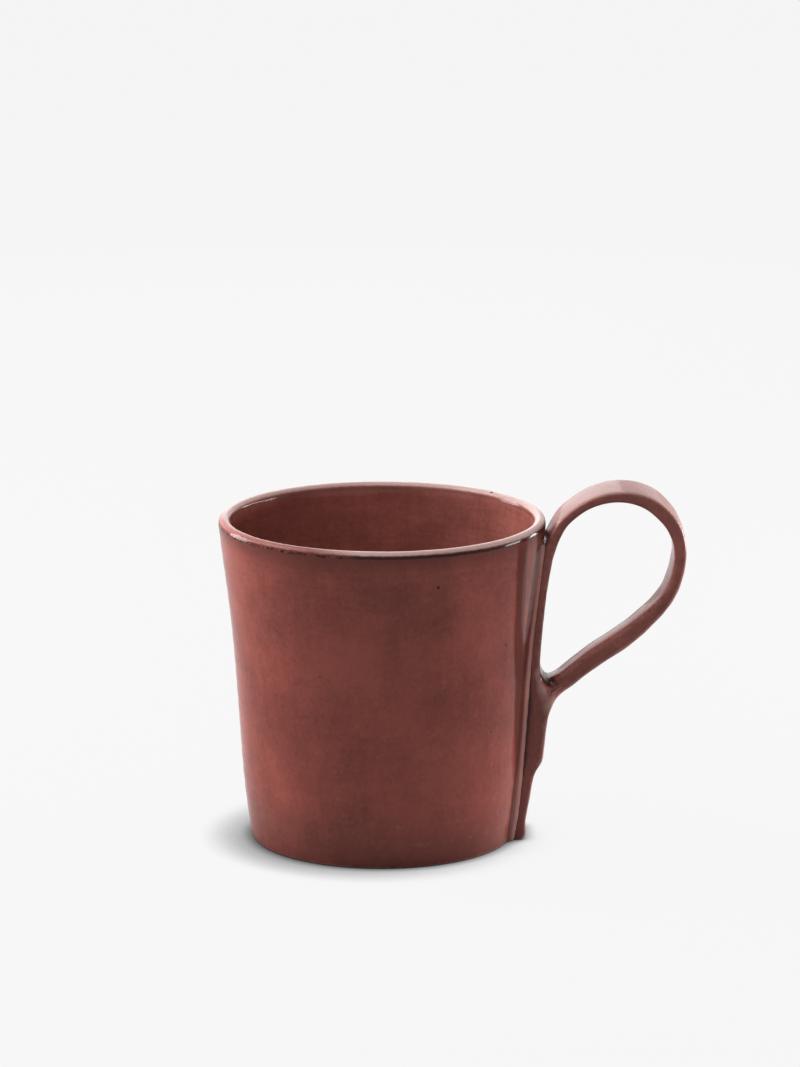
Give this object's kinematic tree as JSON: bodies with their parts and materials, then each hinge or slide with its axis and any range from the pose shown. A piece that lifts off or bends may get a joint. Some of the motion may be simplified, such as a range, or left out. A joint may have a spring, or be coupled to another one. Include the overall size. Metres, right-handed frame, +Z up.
{
  "type": "coffee cup",
  "caption": "Turned stoneware coffee cup with a flaring wall, a full round lip and a strap handle that runs up the side from the foot, loops above the rim and lands back on itself.",
  "frame": {"origin": "on the turned body's axis, in the plane of the foot that the cup stands on", "axes": "+Z up along the body's axis, +X towards the handle"},
  "size_m": [0.1141, 0.08, 0.0879],
  "materials": {
    "glaze": "gloss"
  },
  "bodies": {
    "root": {"cup": "glaze"}
  },
  "joints": []
}
